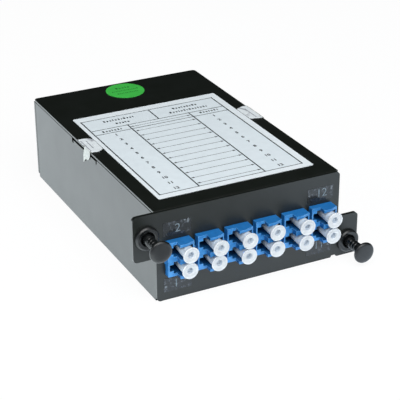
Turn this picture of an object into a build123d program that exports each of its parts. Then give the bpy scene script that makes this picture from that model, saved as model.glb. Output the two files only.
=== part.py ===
from build123d import *

import os
from math import radians, tan

# Rack fibre cassette: folded sheet case, duplex LC couplers in front, one MPO coupler at the back.
# Frame: origin at the middle of the case's underside, +X right, +Y to the back, +Z up, millimetres.
# The front panel faces -Y. Ports count upwards in pairs from the left: odd below, even above.

# Case
case_depth = 113.5
case_height = 33.6
sheet = 1.2
bend_radius = 0.3
corner_gap = 0.3
corner_radius = 1.5

# Mounting ears on the front panel, upper left and lower right
ear_width = 8.3
left_ear_height = 16.8
right_ear_height = 16.0
left_hole_inset = 4.9
right_hole_inset = 4.0
left_hole_below_top = 8.2
right_hole_above_bottom = 5.6
relief_width = 2.9
relief_height = 1.1
relief_flat = 0.7

# Cover
cover_sheet = 1.0
cover_gap = 0.15
cover_end_gap = 0.1
catch_length = 20.0
catch_depth = 6.0
catch_gap = 0.25
spring_length = 22.5
spring_middle_y = 4.5
spring_drop = 0.6
slit_width = 0.7
slit_depth = 2.2

# Label, sticker and seals
film = 0.12
label_side_margin = 5.35
label_front_margin = 8.75
label_back_margin = 27.75
label_corner = 0.6
sticker_diameter = 15.5
sticker_back_margin = 9.0
seal_diameter = 13.5
seal_middle_y = 4.4
seal_inset = 0.7
seal_gap = 0.15
seal_skirt = 6.0
torn_front = 6.2
torn_back = 0.5
torn_drop = 3.3

# Number tags on the panel
tag_width = 10.3
tag_height = 5.0
tag_stand_off = 1.6
tag_film = 0.08

# LC couplers
coupler_count = 6
coupler_gap = 0.8
coupler_side_room = 2.2
coupler_drop = 0.6
coupler_width = 8.9
coupler_height = 12.8
coupler_length = 27.4
coupler_front = 5.1
coupler_step = 2.8
latch_side = 3.2
slant_width = 3.1
slant_depth = 1.05
panel_clearance = 0.1
flange_side = 0.7
flange_top = 1.8
flange_sheet = 1.6
snap_height = 0.3
snap_width = 4.0
snap_length = 1.2
port_spacing = 6.25
port_size = 4.6
port_side_wall = 0.6
shoulder_height = 4.4
shoulder_depth = 1.75
latch_slot_height = 2.4
latch_wall = 0.5
middle_wall = 2.4
tube_radius = 1.25
tube_length = 3.0
sleeve_radius = 0.8
sleeve_bore = 0.635
sleeve_length = 6.6
sleeve_slit = 0.25
sleeve_clearance = 0.05
tube_lip = 0.8

# Dust caps
cap_length = 13.4
cap_head_radius = 2.95
cap_rim = 0.55
cap_rim_height = 0.3
cap_head_edge = 0.45
cap_flare = 1.1
cap_stem_radius = 2.2
cap_tip_radius = 1.85
cap_dimple_radius = 1.15
cap_dimple_depth = 1.3
cap_dimple_floor = 0.85
cap_bore_clearance = 0.08
cap_bore_depth = 3.2
cap_seat = 1.6
cap_stand_out = (0.3, 1.1, 0.0, 1.3, 0.5, 1.2, 0.4, 0.4, 1.2, 1.6, 0.9, 1.4)

# Fibre plugs inside
ferrule_radius = 0.625
plug_size = 4.4
plug_length = 17.0
plug_wall_gap = 0.4
plug_cavity_radius = 1.5
plug_cavity_depth = 3.4
latch_width = 2.0
latch_tip_gap = 1.2
latch_sheet = 0.7
latch_start = 3.0
latch_reach = 9.0
boot_length = 11.0
boot_radius = 1.6
boot_tip_radius = 1.0
lead_radius = 0.45
lead_start_share = 0.26
lead_turn_share = 0.23
lead_stagger_share = 0.0425

# Grommets and plungers
collar_radius = 4.25
collar_sheet = 1.5
collar_chamfer = 0.5
collar_lip = 0.3
funnel_radius = 2.5
funnel_depth = 1.2
barrel_radius = 3.0
barrel_length = 9.0
barrel_taper = 1.2
barrel_tip = 0.35
barrel_slit = 0.7
slit_angle = 45.0
ear_hole_clearance = 0.1
shank_radius = 1.85
shank_clearance = 0.05
shank_length = 16.5
shank_groove = 0.25
groove_count = 3
groove_pitch = 1.5
groove_land = 0.3
shank_tip = 1.5
shank_point = 0.9
head_radius = 3.95
head_edge = 0.9
head_dome = 0.5
head_stand_off = 12.0
neck_flare = 0.9

# MPO coupler and plug at the back
mpo_drop = 0.3
mpo_width = 14.4
mpo_height = 9.9
mpo_length = 26.0
mpo_rear_shift = 0.5
mpo_flange_end = 2.3
mpo_flange_sheet = 1.6
mpo_wall_clearance = 0.15
mpo_port_width = 12.7
mpo_port_height = 7.9
mpo_middle_wall = 2.0
mpo_ferrule_width = 6.4
mpo_ferrule_height = 2.5
mpo_ferrule_gap = 0.15
mpo_key_width = 3.2
mpo_key_depth = 0.6
mpo_plug_clearance = 0.15
mpo_plug_length = 22.0
mpo_boot_length = 12.0
mpo_boot_radius = 1.7
screw_side_room = 1.2
screw_radius = 0.9
screw_head_radius = 1.8
screw_head_height = 1.2
screw_length = 6.0
screw_clearance = 0.05
mpo_cap_clearance = 0.2
mpo_cap_depth = 9.0
mpo_cap_head = 2.0
mpo_cap_rim = 0.4
mpo_cap_wall = 1.2
mpo_cap_grip = 4.0
mpo_plug_chamfer = 0.8

# Fibre store on the base
coil_radius = 14.0
coil_section = 2.0
coil_x = 2.0
coil_back_room = 18.75
clip_angles = (60.0, 130.0, 300.0)
clip_length = 7.0
clip_wall = 1.6
clip_base = 0.8
clip_top_share = 0.75
clip_clearance = 0.1
clip_mouth = 2.2
fan_length = 12.5
fan_coil_distance = 26.0
fan_wall = 0.9
fan_pitch = 1.25
fan_row = 1.5
tail_radius = 1.0

# Route of the plug's lead: share of the way across to the coil, distance in front of the boot, share of the height
mpo_lead_route = (
    (0.0, 7.6, 0.932),
    (0.294, 12.5, 0.705),
    (0.706, 12.5, 0.386),
    (1.0, 7.6, 0.144),
    (1.0, -0.9, 0.03),
    (1.0, -9.9, 0.0),
)

# Places worked out from the sizes above
coupler_pitch = coupler_width + 2 * flange_side + coupler_gap
case_width = coupler_count * coupler_pitch + 2 * coupler_side_room
left_x = -case_width / 2
right_x = case_width / 2
front_y = -case_depth / 2
rear_y = case_depth / 2
outer_bend = bend_radius + sheet
cover_underside = case_height - cover_sheet
wall_top = cover_underside - cover_gap
panel_back = front_y + sheet
fold_start = left_x + outer_bend + corner_gap
label_width = case_width - 2 * label_side_margin
label_length = case_depth - label_front_margin - label_back_margin
label_middle_y = front_y + label_front_margin + label_length / 2
sticker_y = rear_y - sticker_back_margin
coupler_middle_z = case_height / 2 - coupler_drop
coupler_face = front_y - coupler_front
coupler_end = coupler_face + coupler_length
coupler_centre = coupler_face + coupler_length / 2
port_side = coupler_width / 2 - port_side_wall - port_size / 2
latch_slot_x = latch_wall - coupler_width / 2
latch_rise = port_side - plug_size / 2 - latch_slot_x - latch_tip_gap
left_hole = (left_x - ear_width + left_hole_inset, case_height - left_hole_below_top)
right_hole = (right_x + ear_width - right_hole_inset, right_hole_above_bottom)
mpo_middle_z = case_height / 2 - mpo_drop
screw_spacing = mpo_width + 2 * (screw_head_radius + screw_side_room)
mpo_flange_width = screw_spacing + 2 * mpo_flange_end
mpo_inner_end = rear_y + mpo_rear_shift - mpo_length / 2
mpo_centre = rear_y + mpo_rear_shift
mpo_outer_end = rear_y + mpo_rear_shift + mpo_length / 2
coil_y = rear_y - coil_back_room
coil_z = sheet + clip_base + clip_clearance + coil_section
fan_x = coil_x - coil_radius
fan_front_y = coil_y - fan_coil_distance
fan_width = coupler_count * fan_pitch + 2 * fan_wall

os.makedirs("parts", exist_ok=True)


def save(name, shape):
    """Writes one node of the cassette."""
    export_step(shape, f"parts/{name}.step")


def upright(points):
    """Closed outline drawn in X and Z, seen from the front."""
    return make_face(Polyline(*[(x, 0, z) for x, z in points], close=True))


def along_y(face, start, end):
    """Pushes an outline drawn at y = 0 through from start to end."""
    return Pos(0, start, 0) * extrude(face, amount=end - start, dir=(0, 1, 0))


def bar(width, height, start, end, x=0.0, z=0.0):
    """Straight bar along Y with a rectangular section centred on x and z."""
    low_x, high_x = x - width / 2, x + width / 2
    low_z, high_z = z - height / 2, z + height / 2
    return along_y(upright([(low_x, low_z), (high_x, low_z), (high_x, high_z), (low_x, high_z)]), start, end)


def rod(radius, start, end, x=0.0, z=0.0):
    """Round rod along Y."""
    turned = Rot(-90, 0, 0) * Cylinder(radius, end - start, align=(Align.CENTER, Align.CENTER, Align.MIN))
    return Pos(x, start, z) * turned


def turned_part(points, x, y, z):
    """Revolves (radius, distance along +Y) points about the line through x, z, starting at y."""
    outline = make_face(Polyline(*[(r, d, 0) for r, d in points], close=True))
    return Pos(x, y, z) * revolve(outline, Axis.Y)


def coupler_x(index):
    """Middle of one coupler, counted from the left."""
    return (index - (coupler_count - 1) / 2) * coupler_pitch


def port_place(number):
    """X and Z of one port's fibre axis: odd numbers below, even above."""
    index, upper = divmod(number - 1, 2)
    side = 1 if upper else -1
    return coupler_x(index) + port_side, coupler_middle_z + side * port_spacing / 2


# Case tray: one folded sheet with base, walls, back and front panel
def side_channel():
    """Base and both side walls, bent up from the base with round outer edges."""
    start = panel_back + corner_gap
    end = rear_y - sheet - corner_gap
    outer = upright([(left_x, 0), (right_x, 0), (right_x, wall_top), (left_x, wall_top)])
    outer = fillet(outer.vertices().sort_by(Axis.Z)[:2], outer_bend)
    inner = upright(
        [
            (left_x + sheet, sheet),
            (right_x - sheet, sheet),
            (right_x - sheet, wall_top + sheet),
            (left_x + sheet, wall_top + sheet),
        ]
    )
    inner = fillet(inner.vertices().sort_by(Axis.Z)[:2], bend_radius)
    return along_y(outer, start, end) - along_y(inner, start, end)


def end_fold(y_face, inward, low_x, high_x, top):
    """Bend that turns the base up into an end wall at y_face."""
    width = high_x - low_x
    middle = (low_x + high_x) / 2
    reach = y_face + inward * (outer_bend + corner_gap)
    inner_face = y_face + inward * sheet
    beyond = reach + inward * sheet
    outer = bar(width, top, min(y_face, reach), max(y_face, reach), middle, top / 2)
    corner = outer.edges().filter_by(Axis.X).sort_by_distance((middle, y_face, 0))[:1]
    outer = fillet(corner, outer_bend)
    inner = bar(2 * width, top, min(inner_face, beyond), max(inner_face, beyond), middle, sheet + top / 2)
    corner = inner.edges().filter_by(Axis.X).sort_by_distance((middle, inner_face, sheet))[:1]
    inner = fillet(corner, bend_radius)
    return outer - inner


def front_panel():
    """Flat panel with its two ears, cut for the couplers and the grommets."""
    outer_left = left_x - ear_width
    outer_right = right_x + ear_width
    relief_middle = right_x - relief_width / 2
    panel = upright(
        [
            (outer_left, case_height),
            (outer_left, case_height - left_ear_height),
            (left_x, case_height - left_ear_height),
            (left_x, 0),
            (fold_start, 0),
            (fold_start, outer_bend),
            (relief_middle, outer_bend),
            (relief_middle, 0),
            (outer_right, 0),
            (outer_right, right_ear_height),
            (right_x, right_ear_height),
            (right_x, case_height),
        ]
    )
    rounded = [
        (outer_left, case_height),
        (outer_left, case_height - left_ear_height),
        (outer_right, 0),
        (outer_right, right_ear_height),
        (right_x, case_height),
    ]
    picked = [panel.vertices().sort_by_distance((x, 0, z))[0] for x, z in rounded]
    panel = fillet(picked, corner_radius)
    panel = fillet(panel.vertices().sort_by_distance((left_x, 0, 0))[:1], outer_bend)
    plate = along_y(panel, front_y, panel_back)
    for index in range(coupler_count):
        plate -= bar(
            coupler_width + 2 * panel_clearance,
            coupler_height + 2 * panel_clearance,
            front_y - sheet,
            panel_back + sheet,
            coupler_x(index),
            coupler_middle_z,
        )
    for x, z in (left_hole, right_hole):
        plate -= rod(barrel_radius + ear_hole_clearance, front_y - sheet, panel_back + sheet, x, z)
    return plate


def case_tray():
    relief_middle = right_x - relief_width / 2
    tray = side_channel() + front_panel()
    tray += end_fold(front_y, 1, fold_start, relief_middle, outer_bend + sheet)
    tray += end_fold(rear_y, -1, left_x + outer_bend, right_x - outer_bend, outer_bend + sheet)
    tray += bar(case_width, wall_top - outer_bend, rear_y - sheet, rear_y, z=(wall_top + outer_bend) / 2)
    relief = upright(
        [
            (right_x - relief_width, -sheet),
            (right_x - relief_width, 0),
            (relief_middle - relief_flat / 2, relief_height),
            (relief_middle + relief_flat / 2, relief_height),
            (right_x, 0),
            (right_x, -sheet),
        ]
    )
    tray -= along_y(relief, front_y - sheet, panel_back + corner_gap)
    tray -= bar(
        mpo_width + 2 * mpo_wall_clearance,
        mpo_height + 2 * mpo_wall_clearance,
        rear_y - 2 * sheet,
        rear_y + sheet,
        z=mpo_middle_z,
    )
    for side in (-1, 1):
        x = side * screw_spacing / 2
        tray -= rod(screw_radius + screw_clearance, rear_y - 2 * sheet, rear_y + sheet, x, mpo_middle_z)
        tray -= spring_cut(side)
    return tray


def spring_cut(side):
    """Cut that frees a springy length of wall under the cover's edge."""
    wall_x = side * (case_width - sheet) / 2
    width = 2 * sheet
    cut = Pos(wall_x, spring_middle_y, wall_top) * Box(width, spring_length, 2 * spring_drop)
    for end in (-1, 1):
        slit_y = spring_middle_y + end * (spring_length + slit_width) / 2
        cut += Pos(wall_x, slit_y, wall_top) * Box(width, slit_width, 2 * slit_depth)
    return cut


# Cover, label, sticker and seals
def top_cover():
    """Flat cover on the walls, with one catch under each long edge."""
    start = panel_back + cover_end_gap
    length = rear_y - start
    plate = Pos(0, start + length / 2, cover_underside) * Box(
        case_width, length, cover_sheet, align=(Align.CENTER, Align.CENTER, Align.MIN)
    )
    plate = fillet(plate.edges().filter_by(Axis.Z).sort_by(Axis.Y)[2:], corner_radius)
    for side in (-1, 1):
        outer_x = side * (case_width / 2 - sheet - catch_gap)
        inner_x = outer_x - side * cover_sheet
        lip = upright(
            [
                (outer_x, cover_underside + cover_sheet / 2),
                (outer_x, cover_underside - catch_depth),
                (inner_x, cover_underside - catch_depth),
                (inner_x, cover_underside + cover_sheet / 2),
            ]
        )
        plate += along_y(lip, spring_middle_y - catch_length / 2, spring_middle_y + catch_length / 2)
    return plate


def wiring_label():
    sheet_face = Pos(0, label_middle_y, case_height) * RectangleRounded(label_width, label_length, label_corner)
    return extrude(sheet_face, amount=film)


def round_sticker():
    return Pos(0, sticker_y, case_height) * Cylinder(
        sticker_diameter / 2, film, align=(Align.CENTER, Align.CENTER, Align.MIN)
    )


def seal_top(side):
    """Round seal on the cover, between its long edge and the label."""
    disc = Circle(seal_diameter / 2)
    disc = Pos(side * (case_width / 2 - seal_inset), seal_middle_y) * disc
    inner = label_width / 2 + seal_gap
    outer = case_width / 2 + film
    window = Pos(side * (inner + outer) / 2, seal_middle_y) * Rectangle(outer - inner, 2 * seal_diameter)
    return Pos(0, 0, case_height) * extrude(disc & window, amount=film)


def seal_side(side, points):
    """Part of a seal that lies down the outside of the wall, drawn in Y and Z."""
    outline = make_face(Polyline(*[(side * case_width / 2, y, z) for y, z in points], close=True))
    return extrude(outline, amount=film, dir=(side, 0, 0))


def seal_left():
    """Torn seal: only its front half still hangs down the wall, with a ragged end."""
    low_y = seal_middle_y - torn_front
    high_y = seal_middle_y + torn_back
    top = case_height + film
    width = high_y - low_y
    points = [
        (low_y, top),
        (low_y + 0.06 * width, case_height - 0.55 * torn_drop),
        (low_y + 0.24 * width, case_height - torn_drop),
        (low_y + 0.4 * width, case_height - 0.72 * torn_drop),
        (low_y + 0.58 * width, case_height - 0.9 * torn_drop),
        (high_y, case_height - 0.35 * torn_drop),
        (high_y, top),
    ]
    return seal_top(-1) + seal_side(-1, points)


def seal_right():
    """Whole seal, folded over the edge and down the wall."""
    half = seal_diameter / 2
    top = case_height + film
    shoulder = case_height - 0.4 * seal_skirt
    points = [
        (seal_middle_y - half, top),
        (seal_middle_y - half, shoulder),
        (seal_middle_y - 0.5 * half, case_height - seal_skirt),
        (seal_middle_y + 0.5 * half, case_height - seal_skirt),
        (seal_middle_y + half, shoulder),
        (seal_middle_y + half, top),
    ]
    return seal_top(1) + seal_side(1, points)


def port_tag(index, side):
    """Clear number tag above or below a coupler's opening."""
    middle_z = coupler_middle_z + side * (coupler_height / 2 + tag_stand_off + tag_height / 2)
    return bar(tag_width, tag_height, front_y - tag_film, front_y, coupler_x(index), middle_z)


# LC coupler: moulded body with stepped ends, latch slots and two sleeve tubes
def port_cut(z, start, end):
    """Square port with the shoulder and latch slot beside it, centred on the coupler's middle."""
    right = port_side + port_size / 2
    left = port_side - port_size / 2
    shoulder = left - shoulder_depth
    half, mid, low = port_size / 2, shoulder_height / 2, latch_slot_height / 2
    outline = [(right, half), (left, half), (left, mid), (shoulder, mid), (shoulder, low), (latch_slot_x, low)]
    mirrored = [(x, -height) for x, height in reversed(outline)]
    return along_y(upright([(x, z + height) for x, height in outline + mirrored]), start, end)


def slant_cut(end, inward):
    """Wedge that slants one end of the coupler back towards the side without the latches."""
    high_x = coupler_width / 2
    outline = make_face(
        Polyline(
            (high_x - slant_width, end, 0),
            (high_x, end + inward * slant_depth, 0),
            (high_x + sheet, end + inward * slant_depth, 0),
            (high_x + sheet, end - inward * sheet, 0),
            (high_x - slant_width, end - inward * sheet, 0),
            close=True,
        )
    )
    return Pos(0, 0, -coupler_height) * extrude(outline, amount=2 * coupler_height, dir=(0, 0, 1))


def lc_coupler():
    """One duplex coupler on the middle line, to be moved to its place."""
    body = bar(coupler_width, coupler_height, coupler_face, coupler_end)
    body += bar(
        coupler_width + 2 * flange_side,
        coupler_height + 2 * flange_top,
        panel_back,
        panel_back + flange_sheet,
    )
    low_wall = coupler_centre - middle_wall / 2
    high_wall = coupler_centre + middle_wall / 2
    step_x = -coupler_width / 2 + latch_side / 2
    body -= bar(latch_side, 2 * coupler_height, coupler_face - sheet, coupler_face + coupler_step, step_x)
    body -= bar(latch_side, 2 * coupler_height, coupler_end - coupler_step, coupler_end + sheet, step_x)
    body -= slant_cut(coupler_face, 1)
    body -= slant_cut(coupler_end, -1)
    for side in (-1, 1):
        z = side * port_spacing / 2
        body -= port_cut(z, coupler_face - sheet, low_wall)
        body -= port_cut(z, high_wall, coupler_end + sheet)
    for side in (-1, 1):
        z = side * port_spacing / 2
        body += rod(tube_radius, low_wall - tube_length, high_wall + tube_length, port_side, z)
        body -= rod(
            ferrule_radius + sleeve_clearance,
            low_wall - tube_length,
            high_wall + tube_length,
            port_side,
            z,
        )
        body -= rod(
            sleeve_radius + sleeve_clearance,
            coupler_centre - sleeve_length / 2 - sleeve_clearance,
            coupler_centre + sleeve_length / 2 + sleeve_clearance,
            port_side,
            z,
        )
    for side in (-1, 1):
        body += snap_wedge(side)
    return body


def snap_wedge(side):
    """Moulded wedge that holds the coupler in the panel, just in front of it."""
    face_x = side * coupler_width / 2
    tip_x = face_x + side * (snap_height + panel_clearance)
    back = front_y - panel_clearance
    outline = make_face(
        Polyline((face_x, back - snap_length, 0), (tip_x, back, 0), (face_x, back, 0), close=True)
    )
    return Pos(0, 0, -snap_width / 2) * extrude(outline, amount=snap_width, dir=(0, 0, 1))


def alignment_sleeve():
    """Split ceramic sleeve that lines up two ferrules."""
    start = coupler_centre - sleeve_length / 2
    end = coupler_centre + sleeve_length / 2
    sleeve = rod(sleeve_radius, start, end) - rod(sleeve_bore, start, end)
    return sleeve - bar(sleeve_slit, sleeve_radius, start, end, z=sleeve_radius)


def dust_cap(number):
    """Push-in cap with a dished head, a flared stem and a bore over the sleeve tube."""
    x, z = port_place(number)
    bore = tube_radius + cap_bore_clearance
    head_back = cap_head_edge + cap_flare
    dish = cap_rim_height
    profile = [
        (0, dish + cap_dimple_depth),
        (cap_dimple_floor * cap_dimple_radius, dish + cap_dimple_depth),
        (cap_dimple_radius, dish),
        (cap_head_radius - cap_rim, dish),
        (cap_head_radius - 0.6 * cap_rim, 0),
        (cap_head_radius - 0.25 * cap_rim, 0),
        (cap_head_radius, 0.25 * cap_rim),
        (cap_head_radius, cap_head_edge),
        (cap_stem_radius, head_back),
        (cap_tip_radius, cap_length - cap_rim),
        (cap_tip_radius - cap_rim / 2, cap_length),
        (bore, cap_length),
        (bore, cap_length - cap_bore_depth),
        (0, cap_length - cap_bore_depth - bore / 2),
    ]
    stand_out = cap_stand_out[(number - 1) % len(cap_stand_out)]
    front = coupler_face - cap_seat - stand_out
    return turned_part(profile, x, front, z)


def lc_plug(number):
    """Pigtail plug in the back of a coupler: ferrule, square body, latch arm and boot."""
    x, z = port_place(number)
    front = coupler_centre + middle_wall / 2 + plug_wall_gap
    back = front + plug_length
    body = bar(plug_size, plug_size, front, back)
    body -= rod(plug_cavity_radius, front, front + plug_cavity_depth)
    body += rod(ferrule_radius, coupler_centre, front + plug_cavity_depth + sheet)
    side = -plug_size / 2
    tip = latch_start + latch_reach
    arm = make_face(
        Polyline(
            (side + latch_sheet, front + latch_start, 0),
            (side, front + latch_start, 0),
            (side - latch_rise, front + tip, 0),
            (side - latch_rise + latch_sheet, front + tip, 0),
            (side + latch_sheet, front + latch_start + 2 * latch_sheet, 0),
            close=True,
        )
    )
    body += Pos(0, 0, -latch_width / 2) * extrude(arm, amount=latch_width, dir=(0, 0, 1))
    boot = [(0, 0), (boot_radius, 0), (boot_tip_radius, boot_length), (0, boot_length)]
    return Pos(x, 0, z) * (body + turned_part(boot, 0, back, 0))


# Push-pull fasteners in the ears
def grommet(place):
    """Collar with a funnel mouth in front of the ear and a split barrel through it."""
    x, z = place
    bore = shank_radius + shank_clearance
    barrel_end = collar_sheet + sheet + barrel_length
    profile = [
        (bore, funnel_depth),
        (funnel_radius, collar_lip / 2),
        (funnel_radius + collar_lip, 0),
        (collar_radius - collar_chamfer, 0),
        (collar_radius, collar_chamfer),
        (collar_radius, collar_sheet),
        (barrel_radius, collar_sheet),
        (barrel_radius, barrel_end - barrel_taper),
        (barrel_radius - barrel_tip, barrel_end),
        (bore, barrel_end),
    ]
    body = turned_part(profile, x, front_y - collar_sheet, z)
    slit_start = panel_back + corner_gap
    slit_end = panel_back + 2 * barrel_length
    slit = bar(barrel_slit, 4 * barrel_radius, slit_start, slit_end)
    for angle in (slit_angle, slit_angle + 90):
        body -= Pos(x, 0, z) * Rot(0, angle, 0) * slit
    return body


def plunger(place):
    """Pulled-out plunger: domed button head, flared neck and grooved shank."""
    x, z = place
    back = head_dome + head_edge
    end = back + shank_length
    profile = [(0, 0), (0.45 * head_radius, 0.1 * head_dome), (0.78 * head_radius, 0.4 * head_dome)]
    profile += [(head_radius, head_dome), (head_radius, back), (shank_radius + neck_flare, back)]
    profile += [(shank_radius, back + 2 * neck_flare)]
    for step in range(groove_count):
        mouth = back + 3 * neck_flare + groove_land + step * groove_pitch
        floor = shank_radius - shank_groove
        profile += [(shank_radius, mouth), (floor, mouth + groove_land)]
        profile += [(floor, mouth + 2 * groove_land), (shank_radius, mouth + 3 * groove_land)]
    profile += [(shank_radius, end - shank_tip), (shank_radius - shank_point, end), (0, end)]
    return turned_part(profile, x, front_y - head_stand_off, z)


# MPO coupler at the back
def mpo_coupler():
    body = bar(mpo_width, mpo_height, mpo_inner_end, mpo_outer_end, z=mpo_middle_z)
    body += bar(mpo_flange_width, mpo_height, rear_y, rear_y + mpo_flange_sheet, z=mpo_middle_z)
    low_wall = mpo_centre - mpo_middle_wall / 2
    high_wall = mpo_centre + mpo_middle_wall / 2
    for start, end in ((mpo_inner_end - sheet, low_wall), (high_wall, mpo_outer_end + sheet)):
        body -= bar(mpo_port_width, mpo_port_height, start, end, z=mpo_middle_z)
        key_z = mpo_middle_z + mpo_port_height / 2
        body -= bar(mpo_key_width, 2 * mpo_key_depth, start, end, z=key_z)
    window_width = mpo_ferrule_width + 2 * mpo_ferrule_gap
    window_height = mpo_ferrule_height + 2 * mpo_ferrule_gap
    body -= bar(window_width, window_height, low_wall - sheet, high_wall + sheet, z=mpo_middle_z)
    for side in (-1, 1):
        x = side * screw_spacing / 2
        hole = screw_radius + screw_clearance
        body -= rod(hole, rear_y - sheet, rear_y + 2 * mpo_flange_sheet, x, mpo_middle_z)
    return body


def mpo_screw(side):
    """Pan-head screw through the coupler's flange into the back wall."""
    head = rear_y + mpo_flange_sheet
    start = head - screw_length
    profile = [
        (0, 0),
        (0.6 * screw_radius, 0),
        (screw_radius, 0.6 * screw_radius),
        (screw_radius, screw_length),
        (screw_head_radius, screw_length),
        (screw_head_radius, screw_length + 0.55 * screw_head_height),
        (0.6 * screw_head_radius, screw_length + screw_head_height),
        (0, screw_length + screw_head_height),
    ]
    screw = turned_part(profile, side * screw_spacing / 2, start, mpo_middle_z)
    slot_depth = 0.5 * screw_head_height
    slot_start = head + screw_head_height - slot_depth
    slot_end = head + 2 * screw_head_height
    x = side * screw_spacing / 2
    for width, height in ((screw_radius * 2, 0.4), (0.4, screw_radius * 2)):
        screw -= bar(width, height, slot_start, slot_end, x, mpo_middle_z)
    return screw


def mpo_plug():
    """Multi-fibre plug inside: ferrule, key, housing and a boot that tapers to the round lead."""
    width = mpo_port_width - 2 * mpo_plug_clearance
    height = mpo_port_height - 2 * mpo_plug_clearance
    front = mpo_centre - mpo_middle_wall / 2 - mpo_plug_clearance
    back = front - mpo_plug_length
    housing = bar(width, height, back, front, z=mpo_middle_z)
    housing = chamfer(housing.edges().filter_by(Axis.Y), mpo_plug_chamfer)
    housing += bar(mpo_ferrule_width, mpo_ferrule_height, front - sheet, mpo_centre, z=mpo_middle_z)
    wide = Plane((0, back, mpo_middle_z), x_dir=(1, 0, 0), z_dir=(0, -1, 0))
    narrow = Plane((0, back - mpo_boot_length, mpo_middle_z), x_dir=(1, 0, 0), z_dir=(0, -1, 0))
    boot = loft([wide * Circle(0.42 * height), narrow * Circle(mpo_boot_radius)])
    return housing + boot


def mpo_dust_cap():
    """Hollow plug in the outer port, with a rim and a grip tab."""
    width = mpo_port_width - 2 * mpo_cap_clearance
    height = mpo_port_height - 2 * mpo_cap_clearance
    start = mpo_outer_end - mpo_cap_depth
    face = mpo_outer_end + mpo_cap_clearance
    cap = bar(width, height, start, face, z=mpo_middle_z)
    cap -= bar(width - 2 * mpo_cap_wall, height - 2 * mpo_cap_wall, start - sheet, face, z=mpo_middle_z)
    head_width = mpo_width + 2 * mpo_cap_rim
    head_height = mpo_height + 2 * mpo_cap_rim
    head = bar(head_width, head_height, face, face + mpo_cap_head, z=mpo_middle_z)
    cap += fillet(head.edges().filter_by(Axis.Y), corner_radius)
    grip_end = face + mpo_cap_head + mpo_cap_grip
    return cap + bar(mpo_port_height, mpo_cap_wall, face, grip_end, z=mpo_middle_z)


# Fibre store: coil, clips, fan-out block and leads
def fibre_coil():
    """Outer shape of the coiled bundle, with its straight tail into the fan-out block."""
    ring = Pos(coil_x, coil_y, coil_z) * Torus(coil_radius, coil_section)
    return ring + rod(tail_radius, fan_front_y + fan_length, coil_y, fan_x, coil_z)


def coil_clip(angle):
    """Adhesive saddle on the case's floor with an open mouth over the bundle."""
    grip = coil_section + clip_clearance
    half = grip + clip_wall
    top = coil_z + clip_top_share * coil_section
    height = top - sheet
    block = Pos(coil_radius, 0, sheet) * Box(
        2 * half, clip_length, height, align=(Align.CENTER, Align.CENTER, Align.MIN)
    )
    block -= Pos(0, 0, coil_z) * Torus(coil_radius, grip)
    block -= Pos(coil_radius, 0, top) * Box(clip_mouth, 2 * clip_length, 2 * coil_section)
    return Pos(coil_x, coil_y, 0) * Rot(0, 0, angle) * block


def fanout_block():
    """Moulded block that splits the bundle into the leads."""
    height = coil_z - sheet + fan_row / 2 + lead_radius + fan_wall
    end = fan_front_y + fan_length
    block = bar(fan_width, height, fan_front_y, end, fan_x, sheet + height / 2)
    return chamfer(block.edges().filter_by(Axis.Y).group_by(Axis.Z)[-1], fan_wall / 2)


def lead_points(number):
    """Route of one lead, from its boot to its place in the fan-out block."""
    index, upper = divmod(number - 1, 2)
    x, z = port_place(number)
    boot_end = coupler_centre + middle_wall / 2 + plug_wall_gap + plug_length + boot_length
    slot_x = fan_x + (index - (coupler_count - 1) / 2) * fan_pitch
    slot_z = coil_z + (fan_row / 2 if upper else -fan_row / 2)
    span = fan_front_y - boot_end
    leave_y = boot_end + lead_start_share * span
    turn_y = fan_front_y - (lead_turn_share + (coupler_count - 1 - index) * lead_stagger_share) * span
    return [(x, boot_end, z), (x, leave_y, z), (slot_x, turn_y, slot_z), (slot_x, fan_front_y, slot_z)]


def corner_radii(points):
    """Largest easy radius at each corner of a route."""
    found = []
    for before, at, after in zip(points, points[1:], points[2:]):
        arriving = Vector(*at) - Vector(*before)
        leaving = Vector(*after) - Vector(*at)
        half_turn = radians(arriving.get_angle(leaving)) / 2
        found.append(0.45 * min(arriving.length, leaving.length) / tan(half_turn))
    return found


def cord(points, radius):
    """Round cord along straight runs joined by arcs."""
    radii = corner_radii(points)
    path = FilletPolyline(*points, radius=radii)
    start = Plane(origin=points[0], z_dir=path % 0)
    tube = sweep(start * Circle(radius), path=path)
    print("cord radii", [round(value, 1) for value in radii], "length", round(path.length, 1))
    return tube


def mpo_lead():
    """Round lead from the plug's boot down to the coil."""
    boot_end = mpo_centre - mpo_middle_wall / 2 - mpo_plug_clearance - mpo_plug_length - mpo_boot_length
    points = [(0, boot_end, mpo_middle_z)]
    for across, before, height in mpo_lead_route:
        z = coil_z + height * (mpo_middle_z - coil_z)
        points.append((across * (coil_x + coil_radius), boot_end - before, z))
    return cord(points, tail_radius)


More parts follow.
